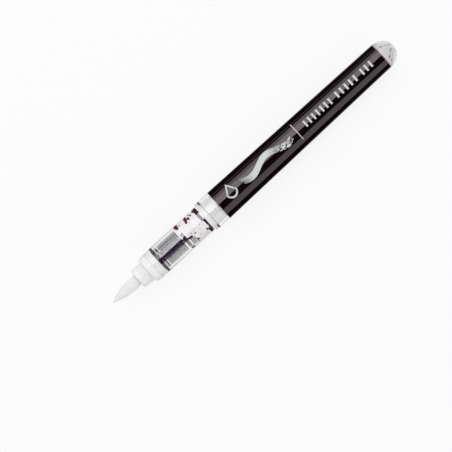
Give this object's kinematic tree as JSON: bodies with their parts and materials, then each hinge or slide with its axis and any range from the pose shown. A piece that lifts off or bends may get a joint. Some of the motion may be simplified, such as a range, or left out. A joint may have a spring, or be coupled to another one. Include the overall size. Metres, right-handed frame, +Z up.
{
  "type": "brush pen",
  "caption": "Brush pen without its cap: soft pointed brush, white nose, see-through feed section with an ink collector, and a barrel that holds the ink, lying on its side.",
  "frame": {"origin": "halfway along the pen, at the height of the lowest point of the barrel's open end", "axes": "the pen lies along X with the brush's point at -X and the barrel's closed end at +X; +Z is up"},
  "size_m": [0.1332, 0.012, 0.0121],
  "materials": {
    "nib_fibre": "matte",
    "white_plastic": "satin",
    "gasket_rubber": "matte",
    "clear_plastic": "gloss",
    "collector_plastic": "gloss",
    "wick_fibre": "matte",
    "black_film": "gloss",
    "ball_steel": "polished"
  },
  "bodies": {
    "barrel": {"barrel": "clear_plastic", "barrel_film": "black_film"},
    "front_unit": {"feed_housing": "clear_plastic", "nose_cone": "white_plastic", "front_gasket": "gasket_rubber", "collector": "collector_plastic", "feed_wick": "wick_fibre", "rear_gasket": "gasket_rubber", "reservoir_plug": "white_plastic"},
    "nib": {"brush_nib": "nib_fibre"},
    "ball": {"mixing_ball": "ball_steel"}
  },
  "joints": [
    {"name": "front_unit_pull", "type": "slide", "parent": "barrel", "child": "front_unit", "axis": [-1, 0, 0], "range_m": [0, 0.014]},
    {"name": "nib_pull", "type": "slide", "parent": "front_unit", "child": "nib", "axis": [-1, 0, 0], "range_m": [0, 0.012]},
    {"name": "ball_roll", "type": "slide", "parent": "barrel", "child": "ball", "axis": [1, 0, 0.0071], "range_m": [0, 0.0735]}
  ]
}
